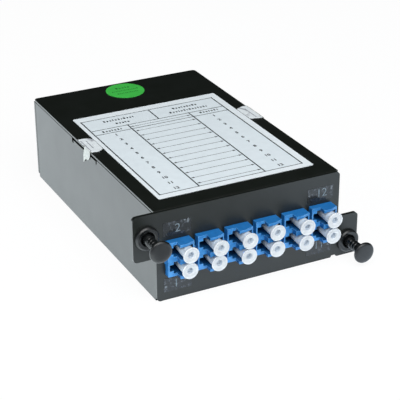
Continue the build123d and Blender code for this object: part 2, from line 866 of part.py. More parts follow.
def build():
    save("case_tray", case_tray())
    save("top_cover", top_cover())
    save("wiring_label", wiring_label())
    save("round_sticker", round_sticker())
    save("seal_tape_left", seal_left())
    save("seal_tape_right", seal_right())
    last = coupler_count - 1
    for index in (0, last):
        save(f"port_tag_{2 * index + 1}", port_tag(index, -1))
        save(f"port_tag_{2 * index + 2}", port_tag(index, 1))
    coupler = lc_coupler()
    sleeves = []
    for index in range(coupler_count):
        save(f"lc_coupler_{index + 1}", Pos(coupler_x(index), 0, coupler_middle_z) * coupler)
    for number in range(1, 2 * coupler_count + 1):
        x, z = port_place(number)
        sleeves.append(Pos(x, 0, z) * alignment_sleeve())
        save(f"dust_cap_{number}", dust_cap(number))
        save(f"lc_plug_{number}", lc_plug(number))
    save("alignment_sleeves", Compound(children=sleeves))
    save("grommet_left", grommet(left_hole))
    save("grommet_right", grommet(right_hole))
    save("plunger_left", plunger(left_hole))
    save("plunger_right", plunger(right_hole))
    save("mpo_coupler", mpo_coupler())
    save("mpo_screws", Compound(children=[mpo_screw(-1), mpo_screw(1)]))
    save("mpo_plug", mpo_plug())
    save("mpo_dust_cap", mpo_dust_cap())
    save("fibre_coil", fibre_coil())
    save("coil_clips", Compound(children=[coil_clip(angle) for angle in clip_angles]))
    save("fanout_block", fanout_block())
    save("mpo_lead", mpo_lead())
    ports = range(1, 2 * coupler_count + 1)
    save("leads_lower", Compound(children=[cord(lead_points(n), lead_radius) for n in ports if n % 2]))
    save("leads_upper", Compound(children=[cord(lead_points(n), lead_radius) for n in ports if not n % 2]))


build()
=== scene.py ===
"""Looks of a black steel fibre cassette with blue LC couplers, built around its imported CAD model.

The frame's sizes are metres: origin at the middle of the case's underside, +X right, +Y back,
+Z up. The values below are millimetres, unless a comment says otherwise.
"""

import math

import bmesh
import bpy
from mathutils import Matrix, Vector


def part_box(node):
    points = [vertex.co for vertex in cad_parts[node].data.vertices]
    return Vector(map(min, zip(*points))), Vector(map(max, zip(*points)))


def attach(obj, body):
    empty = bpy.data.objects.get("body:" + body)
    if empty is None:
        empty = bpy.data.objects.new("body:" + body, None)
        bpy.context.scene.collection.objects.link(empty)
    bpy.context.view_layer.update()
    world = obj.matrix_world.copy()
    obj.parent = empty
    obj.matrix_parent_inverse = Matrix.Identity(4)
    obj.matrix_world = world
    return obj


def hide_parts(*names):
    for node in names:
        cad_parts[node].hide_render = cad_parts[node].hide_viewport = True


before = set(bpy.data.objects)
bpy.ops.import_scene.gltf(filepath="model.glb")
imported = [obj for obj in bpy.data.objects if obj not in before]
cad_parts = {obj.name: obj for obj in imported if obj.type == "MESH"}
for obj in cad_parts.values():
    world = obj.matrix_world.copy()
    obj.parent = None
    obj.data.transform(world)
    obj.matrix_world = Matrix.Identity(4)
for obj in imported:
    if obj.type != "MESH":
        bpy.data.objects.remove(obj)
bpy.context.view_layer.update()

bl_info = {
    "name": "Fibre cassette",
    "version": (1, 0, 0),
    "blender": (4, 5, 0),
    "location": "View3D > Sidebar > Cassette",
    "description": "Dresses the CAD model of a rack fibre cassette with its finishes and label",
    "category": "Object",
}

MM = 0.001
LID_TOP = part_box("top_cover")[1].z / MM
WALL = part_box("top_cover")[1].x / MM
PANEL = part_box("case_tray")[0].y / MM
SHEET = 1.2
EAR_BACK = PANEL + SHEET

# The CAD tray: outside radius of its folds, the stretch of wall that holds its two slits, a height
# between their bottoms and the top of the spring that they leave, and the back slit's front edge
FOLD = 1.5
SLITS_Y = (-8.0, 17.0)
SLITS_Z = (30.0, 32.0)
ABOVE_BOTTOMS = 31.0
BACK_SLIT_FRONT = (15.0, 16.0)

# What the photograph changes on the tray: the front corners' gap is closed, the slits' bottoms
# are higher, the spring between them is lower, the front slit sits further back, and the back
# slit is wider
CORNER_GAP = 0.28
SLIT_RAISE = 0.4
SPRING_DROP = 0.1
FRONT_SLIT_SHIFT = 0.55
BACK_SLIT_WIDENING = 0.75

# The collars' barrels: the share of the CAD's length that is kept, the length over which their
# taper would end in a point, and the radius beyond which a vertex is on their outside
BARREL_SHARE = 0.64
BARREL_POINT = 90.0
BARREL_SKIN = 2.4

# The printed form on the label: its frame, its first row and the rows' pitch
FORM_X = (-28.4, 27.1)
FORM_Y = (-45.1, 24.9)
FIRST_ROW = 12.8
ROW_PITCH = 4.625

# The seals: height of the flat film, its cells' size, its distance from the walls, its thickness
FILM_LEVEL = LID_TOP + 0.13
FILM_CELL = 0.45
FILM_GAP = 0.12
FILM_THICKNESS = 0.07

# The couplers: half the space within the housing's walls, inside which faces get painted shade, and
# how far the steps of an end reach, whose end faces are painted lighter
PORT_HALF_WIDTH = 4.1
PORT_HALF_HEIGHT = 6.1
END_DEPTH = 4.2

# The photograph's camera, fitted to the case's corners: metres, degrees and a 36 mm sensor
CAMERA_PLACE = (-0.194093, -0.404731, 0.226721)
CAMERA_TARGET = (-0.002732, -0.02407, 0.0168)
CAMERA_ROLL = -0.293
CAMERA_LENS = 118.059


# Colours and nodes
def linear(code):
    """Linear RGBA of an sRGB hex value."""
    channels = [int(code[place : place + 2], 16) / 255 for place in (1, 3, 5)]
    return [c / 12.92 if c <= 0.04045 else ((c + 0.055) / 1.055) ** 2.4 for c in channels] + [1.0]


def add(tree, kind, inputs=None, **settings):
    """Adds one node, sets it, and links the inputs that are given as sockets."""
    made = tree.nodes.new(kind)
    for name, value in settings.items():
        setattr(made, name, value)
    for name, value in (inputs or {}).items():
        if isinstance(value, bpy.types.NodeSocket):
            tree.links.new(value, made.inputs[name])
        else:
            made.inputs[name].default_value = value
    return made


def start_material(name):
    """Empty node material, with the surface's place in object coordinates."""
    material = bpy.data.materials.new(name)
    material.use_nodes = True
    tree = material.node_tree
    tree.nodes.clear()
    place = add(tree, "ShaderNodeTexCoord").outputs["Object"]
    return material, tree, place


def finish_material(material, tree, shader):
    """Joins the shader to the material's output."""
    add(tree, "ShaderNodeOutputMaterial", {"Surface": shader.outputs[0]})
    return material


def finish_surface(material, tree, colour, roughness, normal, ior=1.5, more=None):
    """Principled surface, joined to the material's output."""
    inputs = {"Base Color": colour, "Roughness": roughness, "IOR": ior, "Normal": normal}
    shader = add(tree, "ShaderNodeBsdfPrincipled", inputs | (more or {}))
    return finish_material(material, tree, shader)


def calculated(tree, operation, *values):
    """Result of one math node."""
    return add(tree, "ShaderNodeMath", dict(enumerate(values)), operation=operation).outputs[0]


def remapped(tree, value, start, end, low, high):
    """Value moved from the range start to end into the range low to high."""
    inputs = {"Value": value, "From Min": start, "From Max": end, "To Min": low, "To Max": high}
    return add(tree, "ShaderNodeMapRange", inputs).outputs["Result"]


def blended(tree, factor, first, second):
    """Mix of two colours."""
    inputs = {"Factor": factor, 6: first, 7: second}
    return add(tree, "ShaderNodeMix", inputs, data_type="RGBA").outputs[2]


def mixed(tree, share, first, second):
    """Mix of two shaders, share being the second one's."""
    inputs = {"Fac": share, 1: first.outputs[0], 2: second.outputs[0]}
    return add(tree, "ShaderNodeMixShader", inputs)


def noise(tree, place, size, detail=2.0, **more):
    """Noise whose cells are size millimetres wide."""
    inputs = {"Vector": place, "Scale": 1000.0 / size, "Detail": detail}
    return add(tree, "ShaderNodeTexNoise", inputs | more).outputs["Fac"]


def ramp(tree, value, dark, light, start=0.3, end=0.7):
    """Colour between two tones, as a value goes from start to end."""
    made = add(tree, "ShaderNodeValToRGB", {"Fac": value})
    for stop, position, code in zip(made.color_ramp.elements, (start, end), (dark, light)):
        stop.position = position
        stop.color = linear(code)
    return made.outputs["Color"]


def bump(tree, height, depth, strength):
    """Normal over bumps that are depth millimetres high."""
    inputs = {"Height": height, "Distance": depth * MM, "Strength": strength}
    return add(tree, "ShaderNodeBump", inputs).outputs["Normal"]


def mottled(tree, place, dark, light, size, detail=2.0):
    """Colour that wanders between two near tones, in cells of size millimetres."""
    return ramp(tree, noise(tree, place, size, detail), dark, light)


def patchy(tree, place, low, high, size):
    """Roughness that wanders between two values, in cells of size millimetres."""
    return remapped(tree, noise(tree, place, size, 1.0), 0.0, 1.0, low, high)


def grain(tree, place, size, depth, strength):
    """Bump of noise cells, size millimetres wide and depth millimetres high."""
    return bump(tree, noise(tree, place, size), depth, strength)


def skin(name, tones, rough, bumps, ior=1.5, more=None):
    """Opaque material whose tone, roughness and bumps wander in cells, with sizes in millimetres.

    tones: dark, light and the cells' size, then perhaps the detail. rough: low, high and size.
    bumps: size, depth and strength.
    """
    material, tree, place = start_material(name)
    colour = mottled(tree, place, *tones)
    roughness = patchy(tree, place, *rough)
    normal = grain(tree, place, *bumps)
    return finish_surface(material, tree, colour, roughness, normal, ior, more)


# Materials
def powder_coated_steel():
    """Polyester powder baked on folded steel sheet: a satin black skin with a faint orange peel."""
    return skin(
        "powder_coated_steel",
        tones=(colours().coat_dark, colours().coat_light, 6.0),
        rough=(0.31, 0.36, 9.0),
        # The real peel is finer than half a millimetre, drawn at 1.1 mm so that it shows.
        bumps=(1.1, 0.02, 0.22),
    )


def label_film():
    """Matt white polyester label film: slightly bluish, greyer where the form is printed."""
    material, tree, place = start_material("white_polyester_film")
    inner_blur, outer_blur = 0.1, 0.2
    parts = add(tree, "ShaderNodeSeparateXYZ", {"Vector": place})
    within = []
    for axis, (low, high) in (("X", FORM_X), ("Y", FORM_Y)):
        away = calculated(tree, "SUBTRACT", parts.outputs[axis], (low + high) / 2 * MM)
        away = calculated(tree, "ABSOLUTE", away)
        inner, outer = (high - low) / 2 - inner_blur, (high - low) / 2 + outer_blur
        within.append(remapped(tree, away, inner * MM, outer * MM, 1.0, 0.0))
    bare = mottled(tree, place, colours().film_shade, colours().film, 3.0, 3.0)
    form = mottled(tree, place, colours().form_shade, colours().form, 3.0, 3.0)
    colour = blended(tree, calculated(tree, "MULTIPLY", *within), bare, form)
    roughness = patchy(tree, place, 0.42, 0.52, 4.0)
    normal = grain(tree, place, 0.8, 0.006, 0.3)
    return finish_surface(material, tree, colour, roughness, normal, 1.52)


def printed_ink(name, dark, light):
    """Thermal print: thin flat ink, a little uneven in tone."""
    return skin(name, tones=(dark, light, 0.8), rough=(0.45, 0.6, 1.5), bumps=(0.5, 0.004, 0.3))


def sticker_film():
    """Green semi-gloss vinyl sticker."""
    return skin(
        "green_vinyl",
        tones=(colours().sticker_shade, colours().sticker, 2.5),
        rough=(0.38, 0.5, 3.0),
        bumps=(0.9, 0.006, 0.3),
    )


def seal_film(name, crease, light):
    """Brittle white tamper film: thin and creased, with painted shade that darkens its wrinkles."""
    material, tree, place = start_material(name)
    slant = {"Vector": place, "Rotation": (0.0, 0.0, 0.5), "Scale": (1.0, 0.35, 1.0)}
    slanted = add(tree, "ShaderNodeMapping", slant).outputs["Vector"]
    creases = noise(tree, slanted, 2.2, 3.0, Distortion=0.8)
    # Painted shade: the film turns to the crease tone where the crease noise is low
    colour = ramp(tree, creases, crease, light, 0.3, 0.44)
    return finish_surface(material, tree, colour, 0.4, bump(tree, creases, 0.2, 0.6))


def clear_tape():
    """Clear glossy tape on the coat: it lifts the black a little, with pale trapped air."""
    material, tree, place = start_material("clear_tape")
    air = noise(tree, place, 1.3, 4.0, Roughness=0.7)
    colour = ramp(tree, air, colours().tape, colours().tape_air, 0.52, 0.75)
    roughness = patchy(tree, place, 0.05, 0.1, 2.0)
    return finish_surface(material, tree, colour, roughness, grain(tree, place, 1.6, 0.03, 0.3))


def coupler_plastic(name, shade, light):
    """Moulded blue PBT: dense colour with a satin mould texture."""
    return skin(
        name,
        tones=(shade, light, 1.8, 3.0),
        rough=(0.34, 0.44, 2.0),
        bumps=(0.7, 0.02, 0.35),
        ior=1.55,
    )


def cap_plastic(name, shade, light):
    """Soft moulded polyethylene: milky white, light wanders under the skin."""
    return skin(
        name,
        tones=(shade, light, 2.5),
        rough=(0.3, 0.4, 2.0),
        bumps=(0.8, 0.01, 0.3),
        ior=1.51,
        more={
            "Subsurface Weight": 0.5,
            "Subsurface Radius": (1.0, 1.0, 1.0),
            "Subsurface Scale": 0.8 * MM,
        },
    )


def black_nylon(name, low, high):
    """Moulded black nylon: grey-black, slightly pitted, with its roughness from low to high."""
    return skin(
        name,
        tones=(colours().nylon_shade, colours().nylon, 1.5),
        rough=(low, high, 1.8),
        bumps=(0.6, 0.01, 0.3),
        ior=1.53,
    )


def black_abs():
    """Moulded black ABS: even black with a fine spark-eroded texture."""
    return skin(
        "moulded_black_abs",
        tones=("#121314", "#1a1c1e", 1.2),
        rough=(0.4, 0.5, 1.5),
        bumps=(0.5, 0.02, 0.5),
        ior=1.54,
    )


def zinc_plated_steel():
    """Zinc-plated screw steel: bright bluish metal with fine turning marks."""
    return skin(
        "zinc_plated_steel",
        tones=("#b4b8bc", "#d2d6da", 0.8),
        rough=(0.22, 0.38, 0.6),
        bumps=(0.3, 0.01, 0.4),
        more={"Metallic": 1.0},
    )


def zirconia():
    """Ground zirconia ceramic: ivory white and glossy."""
    return skin(
        "ground_zirconia",
        tones=("#e6e1d4", "#efebe0", 0.6),
        rough=(0.12, 0.22, 0.5),
        bumps=(0.3, 0.003, 0.3),
        ior=2.1,
    )


def fibre_jacket():
    """Extruded yellow fibre jacket: soft PVC with a low sheen."""
    return skin(
        "yellow_pvc_jacket",
        tones=("#d8a81c", "#e6ba2c", 1.4),
        rough=(0.4, 0.5, 1.5),
        bumps=(0.5, 0.01, 0.4),
        ior=1.53,
    )


# Modelling
def choose(pieces):
    """Selects these objects alone, with the first one active."""
    bpy.ops.object.select_all(action="DESELECT")
    for piece in pieces:
        piece.select_set(True)
    bpy.context.view_layer.objects.active = pieces[0]


def start_edit(piece):
    """Opens one object in edit mode, with everything selected."""
    choose([piece])
    bpy.ops.object.mode_set(mode="EDIT")
    bpy.ops.mesh.select_mode(type="VERT")
    bpy.ops.mesh.select_all(action="SELECT")


def end_edit():
    bpy.ops.object.mode_set(mode="OBJECT")


def put_in_mesh():
    """Puts the selected objects' place, turn and size into their meshes."""
    bpy.ops.object.transform_apply(location=True, rotation=True, scale=True)


def new_piece(name):
    """Names the object that an operator has just added, and puts its place in its mesh."""
    piece = bpy.context.object
    piece.name = name
    piece.data.name = name
    put_in_mesh()
    return piece


def traced(name, points):
    """New piece, left in edit mode: a line of edges through points in millimetres."""
    bpy.ops.object.select_all(action="DESELECT")
    bpy.ops.mesh.primitive_plane_add(size=0.1 * MM)
    piece = new_piece(name)
    start_edit(piece)
    bpy.ops.mesh.merge(type="CENTER")
    bpy.ops.transform.translate(value=[at * MM for at in points[0]])
    for point, following in zip(points, points[1:]):
        step = [(end - start) * MM for start, end in zip(point, following)]
        bpy.ops.mesh.extrude_region_move(TRANSFORM_OT_translate={"value": step})
    bpy.ops.mesh.select_all(action="SELECT")
    return piece


def turned(name, profile, centre, steps=48):
    """Spins (radius, distance along +Y) points about the line through centre."""
    x, y, z = centre
    piece = traced(name, [(x + radius, y + along, z) for radius, along in profile])
    middle = (x * MM, y * MM, z * MM)
    bpy.ops.mesh.spin(steps=steps, angle=2 * math.pi, center=middle, axis=(0, 1, 0))
    bpy.ops.mesh.select_all(action="SELECT")
    bpy.ops.mesh.remove_doubles(threshold=0.002 * MM)
    bpy.ops.mesh.normals_make_consistent(inside=False)
    end_edit()
    return piece


def joined(name, pieces, material):
    """Makes one dressed piece of several."""
    choose(pieces)
    bpy.ops.object.join()
    whole = new_piece(name)
    dress(whole, material)
    return whole


def number_piece(text, height, place, bold=0.0, upright=False):
    """A plain number as a flat mesh, height millimetres tall, centred on its place."""
    digit_share = 0.7
    bpy.ops.object.select_all(action="DESELECT")
    bpy.ops.object.text_add()
    words = bpy.context.object
    words.data.body = text
    words.data.size = height / digit_share * MM
    words.data.offset = bold * MM
    words.data.align_x = "CENTER"
    words.data.align_y = "CENTER"
    words.data.resolution_u = 4
    bpy.ops.object.convert(target="MESH")
    piece = bpy.context.object
    if upright:
        piece.rotation_euler = (math.radians(90), 0, 0)
    piece.location = place
    put_in_mesh()
    return piece


def apply_modifier(piece, kind, **settings):
    """Adds one modifier and applies it."""
    bpy.context.view_layer.objects.active = piece
    modifier = piece.modifiers.new(kind.title(), kind)
    for name, value in settings.items():
        setattr(modifier, name, value)
    bpy.ops.object.modifier_apply(modifier=modifier.name)


def smooth(piece, degrees=35.0):
    """Smooth shading that keeps edges sharper than the angle."""
    choose([piece])
    bpy.ops.object.shade_smooth_by_angle(angle=math.radians(degrees))


def dress(piece, *materials):
    """Gives a piece its materials, the first one all over."""
    piece.data.materials.clear()
    for material in materials:
        piece.data.materials.append(material)


def dress_nodes(names, material):
    """Gives CAD nodes one material."""
    for name in names:
        dress(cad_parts[name], material)


def softened(node, name, width, materials, body="case", reshape=None):
    """Copy of a CAD node, merged, with its sharp edges rounded, that stands for the node.

    A second material, if there is one, goes on the rounded edges.
    """
    piece = bpy.data.objects.new(name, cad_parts[node].data.copy())
    bpy.context.scene.collection.objects.link(piece)
    start_edit(piece)
    bpy.ops.mesh.remove_doubles(threshold=0.001 * MM)
    bpy.ops.mesh.dissolve_limited(angle_limit=math.radians(0.5))
    end_edit()
    bpy.ops.mesh.customdata_custom_splitnormals_clear()
    smooth(piece)
    dress(piece, *materials)
    if reshape:
        reshape(piece)
    apply_modifier(
        piece,
        "BEVEL",
        width=width * MM,
        segments=2,
        limit_method="ANGLE",
        angle_limit=math.radians(35.0),
        harden_normals=True,
        material=len(materials) - 1,
    )
    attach(piece, body)
    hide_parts(node)
    return piece


def adjust_tray(piece):
    """Tighter folds outside, closed front corners and shorter slits, as in the photograph.

    The small numbers are tolerances, in millimetres.
    """
    for vertex in piece.data.vertices:
        x, y, z = vertex.co / MM
        ahead = PANEL + FOLD - y
        aside = abs(x) - WALL + FOLD
        on_wall = aside > 0.2
        if on_wall and abs(ahead) < 0.02:
            vertex.co.y -= CORNER_GAP * MM
        if on_wall and SLITS_Y[0] < y < SLITS_Y[1] and SLITS_Z[0] < z < SLITS_Z[1]:
            vertex.co.z += (SLIT_RAISE if z < ABOVE_BOTTOMS else -SPRING_DROP) * MM
            if y < 0.0:
                vertex.co.y += FRONT_SLIT_SHIFT * MM
            elif BACK_SLIT_FRONT[0] < y < BACK_SLIT_FRONT[1]:
                vertex.co.y -= BACK_SLIT_WIDENING * MM
        in_front = aside < 0.05
        out, down = (ahead if in_front else aside), FOLD - z
        if min(out, down) < 0.01 or (not in_front and ahead > 0.15):
            continue
        if abs(math.hypot(out, down) - FOLD) < 0.03:
            # On a fold's outer arc: moved straight out from the arc's middle, onto a square.
            grow = FOLD / max(out, down)
            if in_front:
                vertex.co.y = (PANEL + FOLD - out * grow) * MM
            else:
                vertex.co.x = math.copysign(WALL - FOLD + out * grow, x) * MM
            vertex.co.z = (FOLD - down * grow) * MM


def draw_in_barrel(collar):
    """Shortens and tapers a collar's barrel: the photograph shows none past the ear's edge."""
    places = [vertex.co / MM for vertex in collar.data.vertices]
    x = (min(at.x for at in places) + max(at.x for at in places)) / 2
    z = (min(at.z for at in places) + max(at.z for at in places)) / 2
    for vertex, at in zip(collar.data.vertices, places):
        behind = at.y - EAR_BACK
        if behind > 0.05:
            outside = math.hypot(at.x - x, at.z - z) > BARREL_SKIN
            narrow = 1 - behind / BARREL_POINT if outside else 1
            vertex.co.x = (x + (at.x - x) * narrow) * MM
            vertex.co.z = (z + (at.z - z) * narrow) * MM
            vertex.co.y = (EAR_BACK + behind * BARREL_SHARE) * MM


# Settings
def length(label, description, value):
    """Length setting, in millimetres."""
    return bpy.props.FloatProperty(name=label, description=f"{description}, in mm", default=value)


def shade(label, code):
    """Colour setting, as an sRGB hex value."""
    return bpy.props.StringProperty(name=label, default=code)


class CassetteSizes(bpy.types.PropertyGroup):
    """Sizes of the pieces that the scene models itself."""

    edge_round: length("Sheet edge", "Rounding of the sheet metal's cut edges", 0.22)
    coupler_round: length("Coupler edge", "Rounding of the couplers' moulded edges", 0.2)
    ink_width: length("Ink line", "Width of the label's long printed lines", 0.48)
    digit_height: length("Tag numerals", "Height of the port numbers on the panel", 3.1)


class CassetteColours(bpy.types.PropertyGroup):
    """Colours of the finishes."""

    coat_dark: shade("Coat, dark", "#121612")
    coat_light: shade("Coat, light", "#161a17")
    film: shade("Label film", "#eef6fa")
    film_shade: shade("Label film, shade", "#e9f1f5")
    form: shade("Printed form", "#e7f1f6")
    form_shade: shade("Printed form, shade", "#e2ecf1")
    sticker: shade("Sticker", "#46c450")
    sticker_shade: shade("Sticker, shade", "#40bb4a")
    seal: shade("Seal", "#e8eff2")
    # Painted shade: the hanging end is the same film, drawn greyer for the shade on the curled end
    seal_hanging: shade("Seal, hanging end", "#b6bab5")
    # Painted shade: the grey in the film's wrinkles and along its folds
    seal_crease: shade("Seal, creases", "#a9adb4")
    tape: shade("Tape", "#1d2124")
    tape_air: shade("Tape, trapped air", "#5a6068")
    coupler: shade("Coupler", "#1c72b8")
    coupler_shade: shade("Coupler, shade", "#1767aa")
    # Painted highlight: a pale blue on the rounded edges stands for the light that they catch
    coupler_edge: shade("Coupler, rounded edges", "#7db6e6")
    # Painted light: the end faces are drawn a lighter blue, for the light that falls on them more
    # than on the tops
    coupler_face: shade("Coupler, end faces", "#3d8fd0")
    # Painted shade: a dark navy on the faces inside the ports stands for the shade deep in them
    coupler_deep: shade("Coupler, deep in the ports", "#0a355e")
    cap: shade("Cap", "#ced2d4")
    cap_shade: shade("Cap, shade", "#c5c9cd")
    # Painted shade: the dimple is drawn a darker blue-grey, for the shade in it and the blue of the
    # coupler behind
    cap_dimple: shade("Cap, dimple", "#c4ccd4")
    cap_dimple_shade: shade("Cap, dimple, shade", "#b4bfcb")
    # Painted light: the stem is drawn bluer and a little lighter, for the blue light from the
    # coupler around it
    cap_stem: shade("Cap, stem", "#d2dadf")
    cap_stem_shade: shade("Cap, stem, shade", "#c6cfd8")
    nylon: shade("Nylon", "#131516")
    nylon_shade: shade("Nylon, shade", "#0e1011")


def sizes():
    return bpy.context.scene.cassette_sizes


def colours():
    return bpy.context.scene.cassette_colours


# Stage
class CASSETTE_OT_stage(bpy.types.Operator):
    """Pale floor, soft lamps, surroundings and the photograph's camera."""

    bl_idname = "cassette.stage"
    bl_label = "Stage"

    def execute(self, context):
        scene = context.scene
        scene.view_settings.view_transform = "Standard"
        bpy.ops.object.select_all(action="DESELECT")
        bpy.ops.mesh.primitive_plane_add(size=30.0, location=(0.0, 0.0, -0.05 * MM))
        floor = new_piece("floor")
        dress(floor, self.sweep_paper())

        # Places and widths in metres, power in watts
        middle = (0.0, 0.0, 0.0)
        left_aim, front_aim = (0.0, 0.0, 0.02), (0.0, -0.05, 0.02)
        self.lamp("top_softbox", (-0.15, -0.4, 0.68), middle, 0.8, 0.7, 6.6, "#ffffff")
        self.lamp("left_softbox", (-0.8, -0.1, 0.25), left_aim, 0.7, 0.4, 1.2, "#eef7ff")
        self.lamp("front_softbox", (0.2, -0.8, 0.45), front_aim, 0.6, 0.5, 2.4, "#f2f7fc")
        # Glowing tables beside and before the case: its left wall and its panel reflect them.
        self.table("left_table", -0.1028, 0.04, 0.1345, 0.32, 0.188, "#f0fafc")
        self.table("right_table", 0.14, -0.21, 0.2, 0.29, 0.155, "#dcecfc")
        self.table("front_table", 0.0, -0.0715, 0.095, 0.029, 0.0074, "#e6f0fa")
        self.surroundings(scene)
        self.camera(scene)
        return {"FINISHED"}

    def sweep_paper(self):
        """White paper that glows to the camera, and less and bluer in reflections."""
        material, tree, place = start_material("white_sweep_paper")
        path = add(tree, "ShaderNodeLightPath").outputs
        reflected, refracted = path["Is Glossy Ray"], path["Is Transmission Ray"]
        mirrored = calculated(tree, "MAXIMUM", reflected, refracted)
        glowing = calculated(tree, "MULTIPLY", mirrored, 0.4)
        seen = calculated(tree, "MULTIPLY", path["Is Camera Ray"], 0.93)
        share = calculated(tree, "MAXIMUM", glowing, seen)
        white = mottled(tree, place, "#f4f5f6", "#f8f9fa", 40.0)
        paper = add(tree, "ShaderNodeBsdfDiffuse", {"Color": white, "Roughness": 0.5})
        tint = blended(tree, mirrored, linear("#ffffff"), linear("#d4e6f6"))
        glow = add(tree, "ShaderNodeEmission", {"Color": tint, "Strength": 1.0})
        return finish_material(material, tree, mixed(tree, share, paper, glow))

    def lamp(self, name, place, target, width, height, power, colour):
        """Rectangular softbox that faces the target."""
        turn = (Vector(target) - Vector(place)).to_track_quat("-Z", "Y").to_euler()
        bpy.ops.object.light_add(type="AREA", location=place, rotation=turn)
        lamp = bpy.context.object
        lamp.name = name
        lamp.data.shape = "RECTANGLE"
        lamp.data.size = width
        lamp.data.size_y = height
        lamp.data.energy = power
        lamp.data.color = linear(colour)[:3]
        lamp.visible_camera = False

    def table(self, name, x, y, width, depth, power, colour):
        """Lamp that lies on the floor and faces up."""
        self.lamp(name, (x, y, 0.0), (x, y, 1.0), width, depth, power, colour)

    def surroundings(self, scene):
        """White to the camera, pale in front and on the left, dark above and behind."""
        world = bpy.data.worlds.new("surroundings")
        world.use_nodes = True
        tree = world.node_tree
        tree.nodes.clear()
        way = add(tree, "ShaderNodeTexCoord").outputs["Generated"]
        parts = add(tree, "ShaderNodeSeparateXYZ", {"Vector": way})
        left = remapped(tree, parts.outputs["X"], -0.3, -0.8, 0.02, 0.15)
        front = remapped(tree, parts.outputs["Y"], -0.1, -0.7, 0.02, 0.22)
        level = calculated(tree, "MAXIMUM", left, front)
        pale, white = linear("#f2f6fa"), (1.0, 1.0, 1.0, 1.0)
        room = add(tree, "ShaderNodeBackground", {"Color": pale, "Strength": level})
        plain_white = add(tree, "ShaderNodeBackground", {"Color": white, "Strength": 1.0})
        seen = add(tree, "ShaderNodeLightPath").outputs["Is Camera Ray"]
        both = mixed(tree, seen, room, plain_white)
        add(tree, "ShaderNodeOutputWorld", {"Surface": both.outputs[0]})
        scene.world = world

    def camera(self, scene):
        """The photograph's viewpoint."""
        place, target = Vector(CAMERA_PLACE), Vector(CAMERA_TARGET)
        turn = (target - place).to_track_quat("-Z", "Y").to_matrix()
        turn = turn @ Matrix.Rotation(math.radians(CAMERA_ROLL), 3, "Z")
        bpy.ops.object.camera_add(location=place, rotation=turn.to_euler())
        camera = bpy.context.object
        camera.name = "photo_camera"
        camera.data.sensor_width = 36.0
        camera.data.lens = CAMERA_LENS
        camera.data.clip_start = 0.01
        scene.camera = camera


# Sheet metal
class CASSETTE_OT_sheet_metal(bpy.types.Operator):
    """Tray and cover: folded sheet with its cut edges rounded by the coat."""

    bl_idname = "cassette.sheet_metal"
    bl_label = "Sheet metal"

    def execute(self, context):
        coat = (powder_coated_steel(),)
        width = sizes().edge_round
        softened("case_tray", "tray_sheet", width, coat, reshape=adjust_tray)
        softened("top_cover", "cover_sheet", width, coat)
        return {"FINISHED"}


